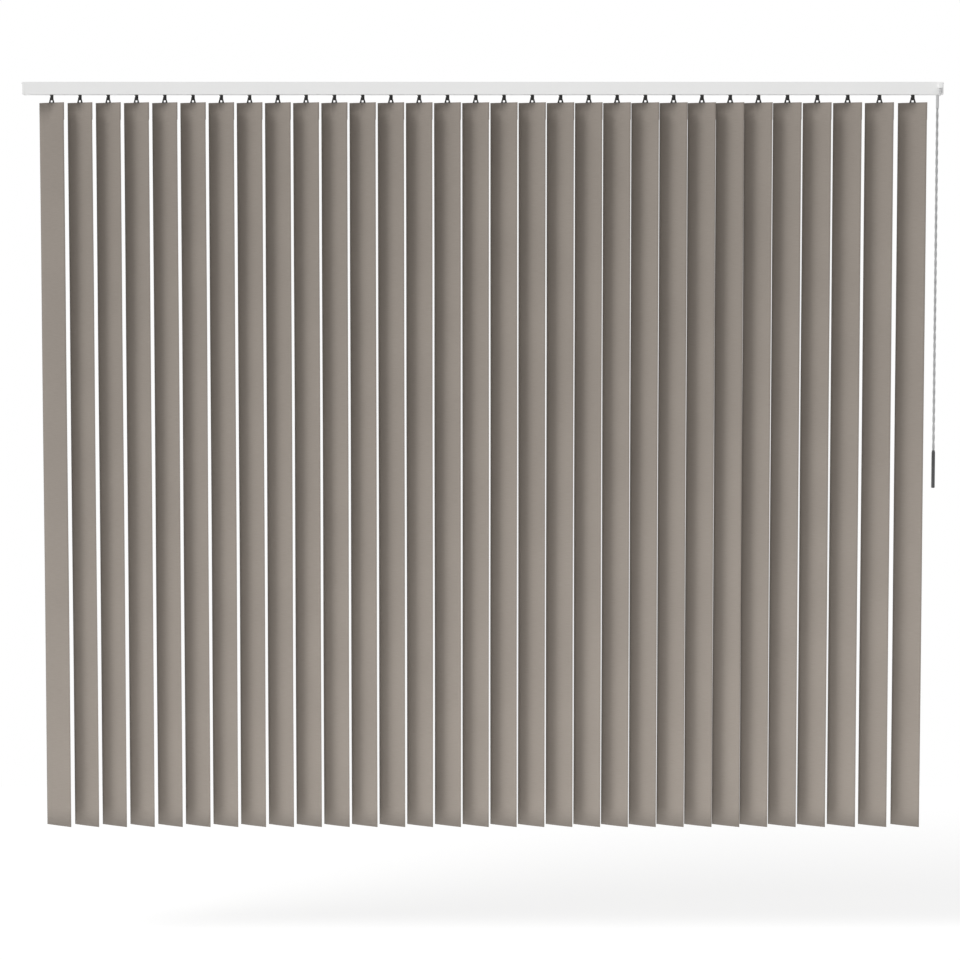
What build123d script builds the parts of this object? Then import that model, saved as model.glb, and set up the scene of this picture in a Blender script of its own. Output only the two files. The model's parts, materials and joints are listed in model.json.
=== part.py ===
from build123d import *
import os

# Vertical blind: a head rail with 31 hanging slats, their carriers, and a wand that tilts them.
# Millimetres. X runs along the rail towards the wand, Z is up, and the room is on the -Y side.
# The origin is the middle of the rail's top face, where it meets the ceiling.

# Head rail
rail_overall = 2600.0
rail_depth = 45.0
rail_height = 35.0
rail_wall = 1.5
rail_slot = 12.0
channel_mouth = 26.0
channel_width = 33.0
channel_depth = 7.0
lip = 1.5
port_bore = 2.6
port_flat_count = 6
port_drop = 4.0
idle_cap_length = 6.0
control_cap_length = 16.0
cap_proud = 0.4
cap_wall = 2.0
cap_edge = 0.8
plug_length = 12.0
plug_play = 0.15

# Slats
slat_width = 89.0
slat_length = 2070.0
slat_drop = 22.0
fabric = 0.4
pocket_height = 50.0
pocket_taper = 3.0
first_hook = 80.0
last_hook = 83.5
slat_pitch = 80.0
wide_pitches = [82.0, 84.5, 86.0, 90.0, 94.0]
rest_angle = 32.0

# Hanger in each slat's pocket, with the open bail that stands above the slat
hanger_thickness = 0.9
hanger_width = 70.0
hanger_height = 40.0
bail_top_width = 11.0
bail_foot_width = 20.0
bail_height = 15.0
bail_straight = 4.0
window_play = 0.4
window_foot_width = 8.4
window_sill = 0.8
crossbar = 3.0
pocket_play = 0.1

# Hook stem that turns in each carrier
stem_diameter = 5.0
stem_flat_count = 6
stem_head = 8.4
stem_head_height = 1.6
hook_width = 8.4
hook_tongue = 4.8
hook_bar = 1.6
hook_block = 1.7
hook_lip = 4.0
hook_play = 0.15

# Carriers and their spacer links
moving_carriers = 15
carrier_length = 13.6
carrier_width = 37.0
carrier_top = 13.0
bore_flat_count = 6
neck_width = 10.0
neck_below = 0.4
running_play = 0.06
seat_gap = 0.2
head_channel = 9.0
link_length = 98.0
link_height = 5.0
link_thickness = 0.4
link_angle = 2.5
link_root = 2.0
link_slot = 5.6
link_wall = 7.0
link_rise = 1.5
link_play = 0.3

# Tilt rod
rod_across = 5.6
rod_offset = 9.0
rod_drop = 21.5
rod_play = 0.5
journal_diameter = 4.6
journal_length = 7.0
bush_length = 9.0
bush_diameter = 12.0
gear_case_length = 40.0
gear_case_width = 38.0
gear_case_height = 22.0
gear_case_edge = 2.0

# Wand
wand_inset = 10.0
wand_y = 33.0
nose_width = 11.6
nose_top = 5.0
nose_height = 12.5
nose_reach = 6.5
nose_edge = 1.6
collar_diameter = 9.0
collar_height = 9.0
shaft_diameter = 4.0
shaft_length = 9.0
eye_diameter = 9.0
eye_hole = 5.0
eye_thickness = 2.0
eye_drop = 3.4
wire_diameter = 1.6
wire_flat_count = 6
wire_play = 0.15
wire_bend = 1.7
hook_half = 3.4
hook_back = 4.6
hook_front = 5.4
hook_drop = 8.4
hook_shift = 8.5
hook_turn = 5.8
hook_end = 4.9
sleeve_diameter = 8.6
sleeve_length = 37.0
sleeve_shoulder = 3.2
sleeve_flat = 7.6
sleeve_edge = 1.5
wand_across = 5.6
wand_lead = 104.0
twist_angle = 45.0
tenon_diameter = 4.8
tenon_flat_count = 8
tenon_length = 12.0
tenon_play = 0.1
grip_diameter = 10.0
grip_length = 107.0
grip_bottom = 1148.0
grip_neck = 6.0
grip_edge = 1.5
grip_wall = 1.4

# Ceiling clips and their screw holes
clip_length = 40.0
clip_thickness = 2.0
clip_play = 0.3
clip_hole = 5.0
clip_inset = 150.0
clip_inner_spacing = 800.0

# End cap screws
screw_length = 26.0
screw_head = 4.4
screw_head_height = 1.2
screw_diameter = 2.5
screw_play = 0.3
screw_flat_count = 6
screw_head_flat_count = 12

# Places worked out from the sizes above
rail_left = -rail_overall / 2
rail_right = rail_overall / 2
extrusion_left = rail_left + idle_cap_length
extrusion_right = rail_right - control_cap_length
half_depth = rail_depth / 2
inner_half = half_depth - rail_wall
channel_floor = -channel_depth
chamber_top = channel_floor - rail_wall
track = -rail_height + rail_wall
slat_top = -rail_height - slat_drop
port_y = (half_depth + channel_width / 2) / 2
chamber_middle = (chamber_top + track) / 2
plug_depth = 2 * (inner_half - plug_play)
plug_height = chamber_top - track - 2 * plug_play
cap_depth = rail_depth + 2 * cap_proud
cap_height = rail_height + cap_proud
gear_case_left = extrusion_right - plug_length - seat_gap - gear_case_length
rod_left = extrusion_left + plug_length + seat_gap
rod_right = gear_case_left - seat_gap
clip_outer_spacing = rail_overall - 2 * clip_inset

# Wand places
wand_x = rail_right - wand_inset
nose_bottom = -nose_top - nose_height
collar_top = nose_bottom - seat_gap
eye_height = collar_top - collar_height - eye_drop
wire_height = eye_height - eye_hole / 2 + wire_diameter / 2 + wire_play
cross_height = wire_height - hook_drop
rod_x = wand_x - hook_shift
sleeve_top = cross_height + sleeve_shoulder
sleeve_bottom = sleeve_top - sleeve_length
grip_top = grip_length - grip_bottom
bar_length = sleeve_bottom - grip_top
bar_turn = 360 * bar_length / wand_lead
bar_steps = round(bar_turn / twist_angle)

# Carrier heights, counted down from the rail's top
rod_corner = rod_across / 3**0.5
neck_bottom = rail_height + neck_below
saddle_floor = rod_drop + rod_corner + rod_play
saddle_edge = rod_offset + rod_corner + rod_play
link_depth = link_height + link_rise

# Slat and hook heights
slat_bottom = slat_top - slat_length
pocket_half = hanger_thickness / 2 + pocket_play + fabric
pocket_end = slat_top - pocket_height
plate_top = slat_top - fabric - pocket_play
bail_top = slat_top + bail_height
hook_seat = bail_top - crossbar - hook_play
hook_bottom = hook_seat - hook_bar
hook_top = -neck_bottom - seat_gap
hook_reach = hanger_thickness / 2 + hook_play + hook_bar
head_seat = seat_gap - saddle_floor
window_top_width = hook_tongue + 2 * window_play

plain_span = rail_overall - first_hook - last_hook - sum(wide_pitches)
plain_pitches = int(plain_span // slat_pitch)
slat_count = plain_pitches + len(wide_pitches) + 1
hook_x = [rail_left + first_hook]
for pitch in [slat_pitch] * plain_pitches + wide_pitches:
    hook_x.append(hook_x[-1] + pitch)

os.makedirs("parts", exist_ok=True)


def save(piece, name):
    """Label one finished piece and write it to its own file."""
    piece.label = name
    export_step(piece, f"parts/{name}.step")


# Head rail: one extrusion with a clip channel in its top, a chamber for the carriers and a slot below
with BuildPart() as head_rail:
    with BuildSketch(Plane.YZ.offset(extrusion_left)):
        with Locations((0, -rail_height / 2)):
            Rectangle(rail_depth, rail_height)
        with Locations((0, chamber_middle)):
            Rectangle(2 * inner_half, chamber_top - track, mode=Mode.SUBTRACT)
        with Locations((0, -(lip + channel_depth) / 2)):
            Rectangle(channel_width, channel_depth - lip, mode=Mode.SUBTRACT)
        with Locations((0, -lip / 2)):
            Rectangle(channel_mouth, lip, mode=Mode.SUBTRACT)
        with Locations((0, (track - rail_height) / 2)):
            Rectangle(rail_slot, rail_wall, mode=Mode.SUBTRACT)
        with Locations((port_y, -port_drop), (-port_y, -port_drop)):
            RegularPolygon(port_bore / 2, port_flat_count, major_radius=False, mode=Mode.SUBTRACT)
    extrude(amount=extrusion_right - extrusion_left)
save(head_rail.part, "head_rail")

# Idle end cap: a plate over the rail's end, a plug in its chamber and a boss that holds the rod's bush
with BuildPart() as idle_end_cap:
    with BuildSketch(Plane.YZ.offset(rail_left)):
        with Locations((0, -cap_height / 2)):
            Rectangle(cap_depth, cap_height)
    extrude(amount=idle_cap_length)
    chamfer(idle_end_cap.faces().sort_by(Axis.X)[0].edges(), length=cap_edge)
    with BuildSketch(Plane.YZ.offset(extrusion_left)):
        with Locations((0, chamber_middle)):
            Rectangle(plug_depth, plug_height)
            Rectangle(plug_depth - 2 * cap_wall, plug_height - 2 * cap_wall, mode=Mode.SUBTRACT)
        with Locations((rod_offset, -rod_drop)):
            Circle(bush_diameter / 2 + cap_wall)
    extrude(amount=plug_length)
    with BuildSketch(Plane.YZ.offset(extrusion_left + plug_length)):
        with Locations((rod_offset, -rod_drop)):
            Circle(bush_diameter / 2 + tenon_play)
    extrude(amount=-bush_length, mode=Mode.SUBTRACT)
    with BuildSketch(Plane.YZ.offset(rail_left)):
        with Locations((port_y, -port_drop), (-port_y, -port_drop)):
            RegularPolygon(screw_diameter / 2 + screw_play, screw_flat_count, major_radius=False)
    extrude(amount=idle_cap_length, mode=Mode.SUBTRACT)
save(idle_end_cap.part, "idle_end_cap")

# Bush at the idle end: it carries the rod's journal
with BuildPart() as rod_bush:
    with BuildSketch(Plane.YZ.offset(extrusion_left + plug_length)):
        with Locations((rod_offset, -rod_drop)):
            Circle(bush_diameter / 2)
            Circle(journal_diameter / 2 + running_play, mode=Mode.SUBTRACT)
    extrude(amount=-bush_length)
save(rod_bush.part, "rod_bush")

# Gear case: the closed housing in the rail's end that turns the rod when the wand's stem turns
with BuildPart() as gear_case:
    with BuildSketch(Plane.YZ.offset(gear_case_left)):
        with Locations((0, chamber_middle)):
            Rectangle(gear_case_width, gear_case_height)
    extrude(amount=gear_case_length)
    chamfer(gear_case.edges().filter_by(Axis.X), length=gear_case_edge)
    with BuildSketch(Plane.YZ.offset(gear_case_left)):
        with Locations((rod_offset, -rod_drop)):
            Circle(journal_diameter / 2 + running_play)
    extrude(amount=journal_length + seat_gap, mode=Mode.SUBTRACT)
save(gear_case.part, "gear_case")

# Tilt rod: a six-sided shaft with a round journal at each end
with BuildPart() as tilt_rod:
    with BuildSketch(Plane.YZ.offset(rod_left)):
        with Locations((rod_offset, -rod_drop)):
            RegularPolygon(rod_across / 2, 6, major_radius=False)
    extrude(amount=rod_right - rod_left)
    with BuildSketch(Plane.YZ.offset(rod_left - journal_length)):
        with Locations((rod_offset, -rod_drop)):
            Circle(journal_diameter / 2)
    extrude(amount=rod_right - rod_left + 2 * journal_length)
save(tilt_rod.part, "tilt_rod")

# Control end cap: a hollow block on the rail's end, with the nose that the wand's stem turns in
with BuildPart() as control_end_cap:
    with BuildSketch(Plane.YZ.offset(extrusion_right)):
        with Locations((0, -cap_height / 2)):
            Rectangle(cap_depth, cap_height)
    extrude(amount=control_cap_length)
    chamfer(control_end_cap.faces().sort_by(Axis.X)[-1].edges(), length=cap_edge)
    with BuildSketch(Plane.YZ.offset(extrusion_right)):
        with Locations((0, chamber_middle)):
            Rectangle(plug_depth, plug_height)
    extrude(amount=-plug_length)
    with BuildSketch(Plane.YZ.offset(extrusion_right - plug_length)):
        with Locations((0, chamber_middle)):
            Rectangle(plug_depth - 2 * cap_wall, plug_height - 2 * cap_wall)
    extrude(amount=plug_length + control_cap_length - cap_wall, mode=Mode.SUBTRACT)
    with BuildSketch(Plane.XY.offset(-nose_top)):
        with Locations((wand_x, -(wand_y + nose_reach + half_depth - cap_wall) / 2)):
            Rectangle(nose_width, wand_y + nose_reach - half_depth + cap_wall)
    extrude(amount=-nose_height)
    nose_front = control_end_cap.faces().sort_by(Axis.Y)[0]
    fillet(nose_front.edges().filter_by(Axis.Z), radius=nose_edge)
    with BuildSketch(Plane.XY.offset(nose_bottom)):
        with Locations((wand_x, -wand_y)):
            Circle(shaft_diameter / 2 + running_play)
    extrude(amount=shaft_length + seat_gap, mode=Mode.SUBTRACT)
    with BuildSketch(Plane.YZ.offset(extrusion_right)):
        with Locations((port_y, -port_drop), (-port_y, -port_drop)):
            RegularPolygon(screw_diameter / 2 + screw_play, screw_flat_count, major_radius=False)
    extrude(amount=control_cap_length, mode=Mode.SUBTRACT)
save(control_end_cap.part, "control_end_cap")

# End cap screws: two at each end, from outside the cap into the rail's ports
with BuildPart() as end_cap_screws:
    for end in (-1, 1):
        for side in (-1, 1):
            outer = Plane(origin=(end * rail_right, side * port_y, -port_drop), z_dir=(-end, 0, 0))
            with BuildSketch(outer):
                RegularPolygon(screw_diameter / 2, screw_flat_count)
            extrude(amount=screw_length)
            with BuildSketch(outer.offset(-screw_head_height)):
                RegularPolygon(screw_head / 2, screw_head_flat_count)
            extrude(amount=screw_head_height)
save(end_cap_screws.part, "end_cap_screws")

# Ceiling clips: each slides in the channel of the rail's top and is screwed to the ceiling
with BuildPart() as ceiling_clips:
    for place in (-clip_outer_spacing, -clip_inner_spacing, clip_inner_spacing, clip_outer_spacing):
        with BuildSketch(Plane.YZ.offset((place - clip_length) / 2)):
            with Locations((0, -(lip + clip_play) / 2)):
                Rectangle(channel_mouth - 2 * clip_play, lip + clip_play)
            with Locations((0, -lip - clip_play - clip_thickness / 2)):
                Rectangle(channel_width - 2 * clip_play, clip_thickness)
        extrude(amount=clip_length)
        with BuildSketch(Plane.XY):
            with Locations((place / 2, 0)):
                Circle(clip_hole / 2)
        extrude(amount=-channel_depth, mode=Mode.SUBTRACT)
save(ceiling_clips.part, "ceiling_clips")

# Wand stem: shaft, collar and the flat eye that the wand hangs from
with BuildPart() as wand_stem:
    with BuildSketch(Plane.XY.offset(collar_top)):
        with Locations((wand_x, -wand_y)):
            Circle(shaft_diameter / 2)
    extrude(amount=shaft_length)
    with BuildSketch(Plane.XY.offset(collar_top)):
        with Locations((wand_x, -wand_y)):
            Circle(collar_diameter / 2)
    extrude(amount=-collar_height)
    with BuildSketch(Plane.XZ.offset(wand_y - eye_thickness / 2)):
        with Locations((wand_x, eye_height)):
            Circle(eye_diameter / 2)
            Circle(eye_hole / 2, mode=Mode.SUBTRACT)
    extrude(amount=eye_thickness)
save(wand_stem.part, "wand_stem")

# Wand hook: one bent wire, over the eye's lower rim and through the head of the sleeve
with BuildPart() as wand_hook:
    with BuildLine() as wire_path:
        FilletPolyline(
            (wand_x, hook_half - wand_y, wire_height - hook_back),
            (wand_x, hook_half - wand_y, wire_height),
            (wand_x, -hook_half - wand_y, wire_height),
            (wand_x, -hook_half - wand_y, wire_height - hook_front),
            (wand_x - hook_shift + hook_turn, -wand_y, cross_height),
            (wand_x - hook_shift - hook_end, -wand_y, cross_height),
            radius=wire_bend,
        )
    with BuildSketch(Plane(origin=wire_path.line @ 0, z_dir=wire_path.line % 0)):
        RegularPolygon(wire_diameter / 2, wire_flat_count)
    sweep()
save(wand_hook.part, "wand_hook")

# Wand sleeve: a round cap with flats at its head, hung on the wire and closed over the wand's end
with BuildPart() as wand_sleeve:
    with BuildSketch(Plane.XY.offset(sleeve_top)):
        with Locations((rod_x, -wand_y)):
            Circle(sleeve_diameter / 2)
    extrude(amount=-sleeve_length)
    chamfer(wand_sleeve.faces().sort_by(Axis.Z)[-1].edges(), length=sleeve_edge)
    with BuildSketch(Plane.XY.offset(sleeve_top)):
        with Locations((rod_x, -wand_y)):
            Rectangle(sleeve_diameter, sleeve_diameter)
            Rectangle(sleeve_flat, sleeve_diameter, mode=Mode.SUBTRACT)
    extrude(amount=-2 * sleeve_shoulder, mode=Mode.SUBTRACT)
    with BuildSketch(Plane.YZ.offset(rod_x)):
        with Locations((-wand_y, cross_height)):
            Circle(wire_diameter / 2 + wire_play)
    extrude(amount=sleeve_diameter, both=True, mode=Mode.SUBTRACT)
    with BuildSketch(Plane.XY.offset(sleeve_bottom)):
        with Locations((rod_x, -wand_y)):
            RegularPolygon(tenon_diameter / 2 + tenon_play, tenon_flat_count)
    extrude(amount=tenon_length + seat_gap, mode=Mode.SUBTRACT)
save(wand_sleeve.part, "wand_sleeve")

# Wand rod: a square bar twisted along its whole length in flat facets, with an eight-sided tenon at each end
def bar_corners(step):
    """Give the corners of the twisted bar after some of its steps, counted from the grip."""
    middle = Vector(rod_x, -wand_y, grip_top + bar_length * step / bar_steps)
    corner = Vector(wand_across / 2**0.5, 0, 0)
    return [middle + corner.rotate(Axis.Z, bar_turn * step / bar_steps + 90 * side) for side in range(4)]


facets = [Face(Wire.make_polygon(bar_corners(0))), Face(Wire.make_polygon(bar_corners(bar_steps)))]
for step in range(bar_steps):
    low = bar_corners(step)
    high = bar_corners(step + 1)
    for side in range(4):
        following = (side + 1) % 4
        facets.append(Face(Wire.make_polygon([low[side], low[following], high[side]])))
        facets.append(Face(Wire.make_polygon([low[following], high[following], high[side]])))
twisted_bar = Solid(Shell(facets))

with BuildPart() as wand_rod:
    add(twisted_bar)
    with BuildSketch(Plane.XY.offset(sleeve_bottom)):
        with Locations((rod_x, -wand_y)):
            RegularPolygon(tenon_diameter / 2, tenon_flat_count)
    extrude(amount=tenon_length)
    with BuildSketch(Plane.XY.offset(grip_top)):
        with Locations((rod_x, -wand_y)):
            RegularPolygon(tenon_diameter / 2, tenon_flat_count)
    extrude(amount=-tenon_length)
save(wand_rod.part, "wand_rod")

# Wand grip: a slim barrel, turned with a waist below its collar
with BuildPart() as wand_grip:
    with BuildSketch(Plane.XZ.offset(wand_y)):
        with BuildLine():
            Polyline(
                (rod_x, -grip_bottom),
                (rod_x + grip_diameter / 2 - grip_edge, -grip_bottom),
                (rod_x + grip_diameter / 2, grip_edge - grip_bottom),
                (rod_x + grip_diameter / 2, grip_top - grip_neck),
                (rod_x + tenon_diameter / 2 + grip_wall, grip_top),
                (rod_x, grip_top),
                close=True,
            )
        make_face()
    revolve(axis=Axis((rod_x, -wand_y, 0), (0, 0, 1)))
    with BuildSketch(Plane.XY.offset(grip_top)):
        with Locations((rod_x, -wand_y)):
            RegularPolygon(tenon_diameter / 2 + tenon_play, tenon_flat_count)
    extrude(amount=-tenon_length - seat_gap, mode=Mode.SUBTRACT)
save(wand_grip.part, "wand_grip")

# Carrier: an open body that glides on the rail's two tracks, with a neck in the slot
with BuildPart() as carrier:
    with BuildSketch(Plane.YZ.offset(-carrier_length / 2)):
        with Locations((0, (track + seat_gap - carrier_top) / 2)):
            Rectangle(carrier_width, -carrier_top - track - seat_gap)
        with Locations((0, (track + seat_gap - neck_bottom) / 2)):
            Rectangle(neck_width, neck_bottom + track + seat_gap)
        with Locations(((saddle_edge - head_channel / 2) / 2, -(carrier_top + saddle_floor) / 2)):
            Rectangle(saddle_edge + head_channel / 2, saddle_floor - carrier_top, mode=Mode.SUBTRACT)
        with Locations((-link_wall - link_slot / 2, -carrier_top - link_depth / 2)):
            Rectangle(link_slot, link_depth, mode=Mode.SUBTRACT)
    extrude(amount=carrier_length)
    with BuildSketch(Plane.XY.offset(-neck_bottom)):
        RegularPolygon(stem_diameter / 2 + running_play, bore_flat_count, major_radius=False)
    extrude(amount=neck_bottom - saddle_floor, mode=Mode.SUBTRACT)

# Spacer link: a thin strip moulded into its carrier, set at an angle so that the links of a stack nest
with BuildPart() as link:
    with BuildSketch(Plane.XY.offset(-carrier_top - link_depth + link_play)):
        with Locations(Location((link_root, link_thickness / 2 - link_wall, 0), (0, 0, link_angle))):
            Rectangle(link_length + link_root, link_thickness, align=(Align.MAX, Align.MAX))
    extrude(amount=link_height)

# Slat: one strip of fabric folded over into a pocket at its top
with BuildPart() as slat_fabric:
    with BuildSketch(Plane.YZ.offset(-slat_width / 2)):
        with BuildLine():
            Polyline(
                (-pocket_half, slat_top),
                (pocket_half, slat_top),
                (pocket_half, pocket_end + pocket_taper),
                (fabric - pocket_half, pocket_end),
                (fabric - pocket_half, slat_bottom),
                (-pocket_half, slat_bottom),
                close=True,
            )
        make_face()
        with BuildLine():
            Polyline(
                (fabric - pocket_half, slat_top - fabric),
                (pocket_half - fabric, slat_top - fabric),
                (pocket_half - fabric, pocket_end + pocket_taper),
                (fabric - pocket_half, pocket_end + fabric),
                close=True,
            )
        make_face(mode=Mode.SUBTRACT)
    extrude(amount=slat_width)
    with BuildSketch(Plane.XY.offset(slat_top)):
        Rectangle(bail_foot_width + 2 * pocket_play, hanger_thickness + 2 * pocket_play)
    extrude(amount=-fabric, mode=Mode.SUBTRACT)

# Hanger: a plate in the pocket, with a bail above the slat that hangs on the hook
with BuildPart() as hanger:
    with BuildSketch(Plane.XZ.offset(-hanger_thickness / 2)):
        with Locations((0, plate_top - hanger_height / 2)):
            Rectangle(hanger_width, hanger_height)
        with BuildLine():
            Polyline(
                (-bail_foot_width / 2, plate_top),
                (-bail_foot_width / 2, slat_top),
                (-bail_top_width / 2, bail_top - bail_straight),
                (-bail_top_width / 2, bail_top),
                (bail_top_width / 2, bail_top),
                (bail_top_width / 2, bail_top - bail_straight),
                (bail_foot_width / 2, slat_top),
                (bail_foot_width / 2, plate_top),
                close=True,
            )
        make_face()
        with BuildLine():
            Polyline(
                (-window_foot_width / 2, slat_top + window_sill),
                (-window_top_width / 2, bail_top - crossbar),
                (window_top_width / 2, bail_top - crossbar),
                (window_foot_width / 2, slat_top + window_sill),
                close=True,
            )
        make_face(mode=Mode.SUBTRACT)
    extrude(amount=hanger_thickness)

# Hook stem: it turns in the carrier's bore, hangs by its head and ends in a hook, whose broad back arm
# stands behind the bail and whose narrow tongue reaches through the bail's window
with BuildPart() as stem:
    with BuildSketch(Plane.XY.offset(hook_top)):
        RegularPolygon(stem_diameter / 2, stem_flat_count)
    extrude(amount=head_seat - hook_top)
    with BuildSketch(Plane.XY.offset(head_seat)):
        RegularPolygon(stem_head / 2, stem_flat_count)
    extrude(amount=stem_head_height)
    with BuildSketch(Plane.YZ.offset(-hook_width / 2)):
        with Locations((0, hook_top - hook_block / 2)):
            Rectangle(2 * hook_reach, hook_block)
        with Locations((hook_reach - hook_bar / 2, (hook_top + hook_bottom) / 2)):
            Rectangle(hook_bar, hook_top - hook_bottom)
    extrude(amount=hook_width)
    with BuildSketch(Plane.YZ.offset(-hook_tongue / 2)):
        with Locations((0, hook_bottom + hook_bar / 2)):
            Rectangle(2 * hook_reach, hook_bar)
        with Locations((hook_bar / 2 - hook_reach, (hook_seat + hook_lip + hook_bottom) / 2)):
            Rectangle(hook_bar, hook_seat + hook_lip - hook_bottom)
    extrude(amount=hook_tongue)

# Every carrier with its link, the first one without, because nothing hangs beyond it
fixed_group = []
for number, x in enumerate(hook_x, start=1):
    with BuildPart() as placed_carrier:
        with Locations((x, 0, 0)):
            add(carrier.part)
            if number > 1:
                add(link.part)
    if number <= slat_count - moving_carriers:
        fixed_group.append(placed_carrier.part.solid())
    else:
        save(placed_carrier.part, f"carrier_{number:02d}")
save(Compound(fixed_group), "fixed_carriers")

# Every slat with its hanger and stem, turned together about the stem's axis
for number, x in enumerate(hook_x, start=1):
    with BuildPart() as placed_slat:
        with Locations(Location((x, 0, 0), (0, 0, -rest_angle))):
            add(slat_fabric.part)
            add(hanger.part)
            add(stem.part)
    save(placed_slat.part, f"slat_{number:02d}")
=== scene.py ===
"""A vertical blind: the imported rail, carriers, slats and wand, dressed for a render."""

import json
import logging
import math
import random
from collections.abc import Iterable, Sequence
from dataclasses import dataclass, field
from enum import Enum
from typing import Any

import bmesh
import bpy
from mathutils import Matrix, Vector

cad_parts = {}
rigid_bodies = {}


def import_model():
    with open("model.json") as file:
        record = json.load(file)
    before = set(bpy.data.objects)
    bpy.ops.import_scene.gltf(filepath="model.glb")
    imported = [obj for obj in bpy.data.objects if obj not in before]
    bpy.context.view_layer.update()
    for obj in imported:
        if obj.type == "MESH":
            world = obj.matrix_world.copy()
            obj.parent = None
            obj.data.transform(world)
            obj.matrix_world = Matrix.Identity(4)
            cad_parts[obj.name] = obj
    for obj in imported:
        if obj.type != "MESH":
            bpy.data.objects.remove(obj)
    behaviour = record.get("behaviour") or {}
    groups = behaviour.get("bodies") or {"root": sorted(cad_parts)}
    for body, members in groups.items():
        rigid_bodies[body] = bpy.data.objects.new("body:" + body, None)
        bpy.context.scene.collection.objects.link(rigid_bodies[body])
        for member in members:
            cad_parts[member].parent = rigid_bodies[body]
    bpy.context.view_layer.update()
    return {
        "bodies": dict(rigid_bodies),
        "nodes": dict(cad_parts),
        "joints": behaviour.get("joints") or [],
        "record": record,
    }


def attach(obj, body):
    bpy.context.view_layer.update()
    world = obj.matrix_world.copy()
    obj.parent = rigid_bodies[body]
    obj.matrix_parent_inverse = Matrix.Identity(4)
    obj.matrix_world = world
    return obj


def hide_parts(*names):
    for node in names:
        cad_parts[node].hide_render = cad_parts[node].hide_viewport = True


LOG = logging.getLogger("vertical_blind")
MM = 0.001
Point = tuple[float, float]
Triple = tuple[float, float, float]
Colour = Triple


class Operand(Enum):
    """The kinds of value that a shader link can carry."""

    NUMBER = "number"
    COLOUR = "colour"
    VECTOR = "vector"


@dataclass(frozen=True)
class Signal:
    """One output of a node tree, which operators join with numbers, triples and other outputs."""

    tree: "Shading"
    socket: bpy.types.NodeSocket | None
    operand: Operand = Operand.NUMBER

    def _join(self, operation: str, first: Any, second: Any) -> "Signal":
        """Combine two values with the node that suits what they carry.

        Args:
            operation: The operation, which Math, Vector Math and Mix all know.
            first: A signal, number or triple.
            second: A signal, number or triple.

        Returns:
            The combined value.
        """
        kinds = {value.operand for value in (first, second) if isinstance(value, Signal)}
        if Operand.COLOUR in kinds:
            return self.tree.node("ShaderNodeMix", {"data_type": "RGBA", "blend_type": operation},
                                  {0: 1.0, 6: first, 7: second}, 2, Operand.COLOUR)
        if Operand.VECTOR in kinds:
            return self.tree.node("ShaderNodeVectorMath", {"operation": operation},
                                  {0: first, 1: second}, 0, Operand.VECTOR)
        return self.tree.node("ShaderNodeMath", {"operation": operation}, {0: first, 1: second})

    def __add__(self, other: Any) -> "Signal":
        """Add another value."""
        return self._join("ADD", self, other)

    def __radd__(self, other: Any) -> "Signal":
        """Add this signal to another value."""
        return self._join("ADD", other, self)

    def __sub__(self, other: Any) -> "Signal":
        """Take another value away."""
        return self._join("SUBTRACT", self, other)

    def __rsub__(self, other: Any) -> "Signal":
        """Take this signal from another value."""
        return self._join("SUBTRACT", other, self)

    def __mul__(self, other: Any) -> "Signal":
        """Multiply by another value."""
        return self._join("MULTIPLY", self, other)

    def __rmul__(self, other: Any) -> "Signal":
        """Multiply another value by this signal."""
        return self._join("MULTIPLY", other, self)

    def larger(self, other: Any) -> "Signal":
        """Keep the larger of two numbers."""
        return self.tree.node("ShaderNodeMath", {"operation": "MAXIMUM"}, {0: self, 1: other})

    def held(self) -> "Signal":
        """Hold a number between 0 and 1."""
        settings = {"operation": "ADD", "use_clamp": True}
        return self.tree.node("ShaderNodeMath", settings, {0: self, 1: 0.0})

    def wave(self, length: float) -> "Signal":
        """Give a smooth wave along this distance.

        Args:
            length: The distance from one crest to the next.

        Returns:
            A number from 0 to 1.
        """
        turn = self * (2 * math.pi / length)
        return self.tree.node("ShaderNodeMath", {"operation": "SINE"}, {0: turn}) * 0.5 + 0.5

    def step(self, low: float, high: float) -> "Signal":
        """Rise smoothly between two values.

        Args:
            low: The value that gives 0.
            high: The value that gives 1.

        Returns:
            A number from 0 to 1.
        """
        return self.tree.node("ShaderNodeMapRange", {"interpolation_type": "SMOOTHSTEP"},
                              {"Value": self, "From Min": low, "From Max": high})

    def mixed(self, other: "Signal", share: float) -> "Signal":
        """Mix this share of another number in."""
        return self * (1 - share) + other * share

    def between(self, low: Any, high: Any) -> "Signal":
        """Mix two colours by this number.

        Args:
            low: The colour where the number is 0.
            high: The colour where the number is 1.

        Returns:
            The mixed colour.
        """
        return self.tree.node("ShaderNodeMix", {"data_type": "RGBA"}, {0: self, 6: low, 7: high},
                              2, Operand.COLOUR)

    def axes(self) -> tuple["Signal", "Signal", "Signal"]:
        """Split a vector.

        Returns:
            Its x, y and z.
        """
        x = self.tree.node("ShaderNodeSeparateXYZ", {}, {0: self})
        y, z = (Signal(self.tree, x.socket.node.outputs[place]) for place in (1, 2))
        return x, y, z

    def cloud(self, size: float, detail: float = 2.0) -> "Signal":
        """Give soft noise at this place.

        Args:
            size: The width of a typical blot, in the units of this vector.
            detail: How many finer layers it has.

        Returns:
            A number round 0.5.
        """
        values = {"Vector": self, "Scale": 1 / size, "Detail": detail}
        return self.tree.node("ShaderNodeTexNoise", {}, values)

    def relief(self, depth: float, strength: float) -> "Signal":
        """Turn a height into a normal.

        Args:
            depth: How deep a height of 1 is, in metres.
            strength: How much of it shows.

        Returns:
            The normal.
        """
        values = {"Height": self, "Distance": depth, "Strength": strength}
        return self.tree.node("ShaderNodeBump", {}, values, operand=Operand.VECTOR)


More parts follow.
